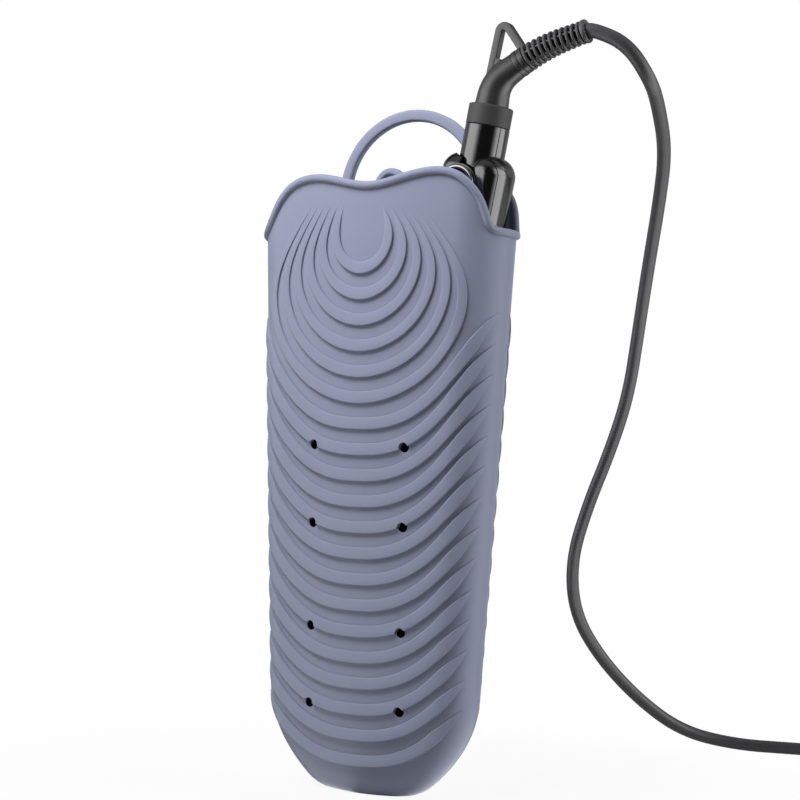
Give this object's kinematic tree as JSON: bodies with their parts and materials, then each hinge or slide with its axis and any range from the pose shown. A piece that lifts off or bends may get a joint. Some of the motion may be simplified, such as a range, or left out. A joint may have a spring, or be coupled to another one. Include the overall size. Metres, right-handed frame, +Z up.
{
  "type": "hair straightener in a silicone sleeve",
  "caption": "Hair straightener with hinged arms and a swivel cord, standing in a ribbed silicone heat sleeve with a carry loop.",
  "frame": {"origin": "centre of the sleeve's flat base, on the surface it stands on", "axes": "+Z up along the sleeve, +X towards the side the iron leans to, -Y towards the front panel"},
  "size_m": [0.2964, 0.2501, 0.3262],
  "materials": {
    "silicone": "matte moulded silicone",
    "gloss_black": "polished black",
    "satin_black": "satin black",
    "collar_grey": "matte dark grey",
    "cord_grey": "matte dark grey",
    "chrome": "polished",
    "plate": "ceramic coated",
    "heater": "white ceramic heater in a thin metal jacket",
    "pad": "silicone foam",
    "steel": "plain",
    "board": "glass-fibre board",
    "lens": "clear lens",
    "brass": "plated"
  },
  "bodies": {
    "sleeve": {"sleeve_body": "silicone"},
    "iron": {"fixed_arm_body": "satin_black", "fixed_arm_cover": "gloss_black", "fixed_heater_plate": "plate", "fixed_heater_element": "heater", "fixed_heater_pad": "pad", "fixed_arm_screws": "steel", "control_board": "board", "indicator_lens": "lens", "swivel_collar": "collar_grey"},
    "moving_arm": {"moving_arm_body": "satin_black", "moving_arm_cover": "gloss_black", "moving_heater_plate": "plate", "moving_heater_element": "heater", "moving_heater_pad": "pad", "moving_arm_screws": "steel", "hinge_pin": "steel", "hinge_cap_front": "chrome", "hinge_cap_back": "chrome"},
    "power_button": {"power_button": "satin_black"},
    "temp_up_button": {"temp_up_button": "satin_black"},
    "temp_down_button": {"temp_down_button": "satin_black"},
    "swivel": {"swivel_elbow": "collar_grey", "swivel_clip": "steel", "strain_relief": "cord_grey", "mains_cord": "cord_grey", "cord_coil": "cord_grey", "cord_tie": "satin_black", "plug_body": "collar_grey", "plug_blades": "brass"}
  },
  "joints": [
    {"name": "iron_withdraw", "type": "slide", "parent": "sleeve", "child": "iron", "axis": [0.1702, 0, 0.9854], "range_m": [0, 0.27]},
    {"name": "arm_open", "type": "hinge", "parent": "iron", "child": "moving_arm", "pos_m": [0.03795, 0, 0.25728], "axis": [0, 1, 0], "range_deg": [0, 3]},
    {"name": "cord_swivel", "type": "hinge", "parent": "iron", "child": "swivel", "pos_m": [0.04692, 0, 0.28922], "axis": [0.1702, 0, 0.9854], "continuous": true},
    {"name": "power_button_press", "type": "slide", "parent": "iron", "child": "power_button", "axis": [0.9854, 0, -0.1702], "range_m": [0, 0.0007], "stiffness_N_per_m": 300},
    {"name": "temp_up_button_press", "type": "slide", "parent": "iron", "child": "temp_up_button", "axis": [0.9854, 0, -0.1702], "range_m": [0, 0.0007], "stiffness_N_per_m": 300},
    {"name": "temp_down_button_press", "type": "slide", "parent": "iron", "child": "temp_down_button", "axis": [0.9854, 0, -0.1702], "range_m": [0, 0.0007], "stiffness_N_per_m": 300}
  ]
}
